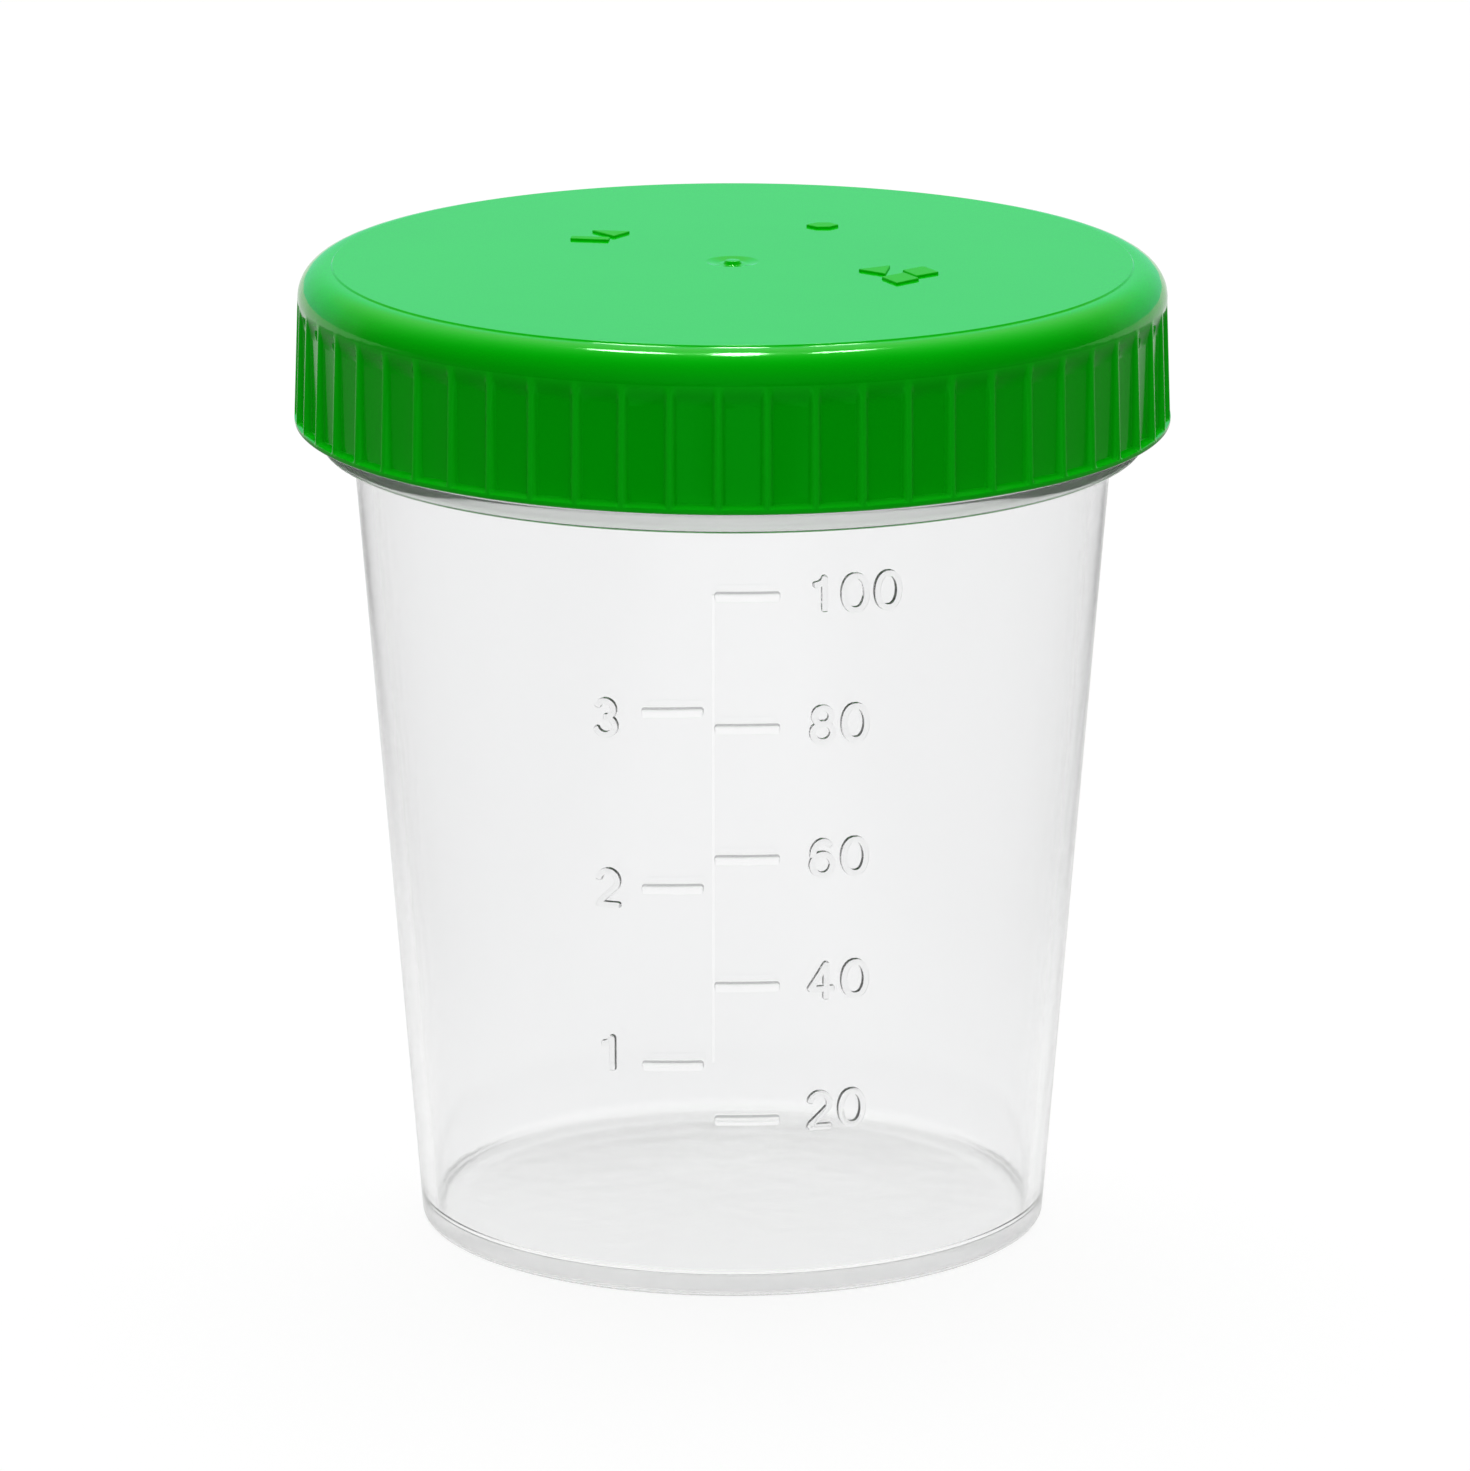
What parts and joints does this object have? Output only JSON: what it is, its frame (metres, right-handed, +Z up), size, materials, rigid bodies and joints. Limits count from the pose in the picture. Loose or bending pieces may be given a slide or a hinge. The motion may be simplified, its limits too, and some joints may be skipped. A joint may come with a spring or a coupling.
{
  "type": "specimen container",
  "caption": "Clear tapered specimen container with raised graduations, a flange and a threaded neck, closed by a green screw lid with a slotted grip.",
  "frame": {"origin": "centre of the foot, in the plane that the container stands on", "axes": "+Z up along the axis of the container and lid; the graduations face -Y; +X is to the right when the graduations are read"},
  "size_m": [0.066, 0.066, 0.0741],
  "materials": {
    "clear_plastic": "clear, slightly milky moulded polypropylene",
    "green_plastic": "smooth glossy moulded polyethylene"
  },
  "bodies": {
    "container": {"container": "clear_plastic"},
    "lid": {"lid": "green_plastic"}
  },
  "joints": [
    {"name": "lid_lift", "type": "slide", "parent": "container", "child": "lid", "axis": [0, 0, 1], "range_m": [0, 0.025]}
  ]
}
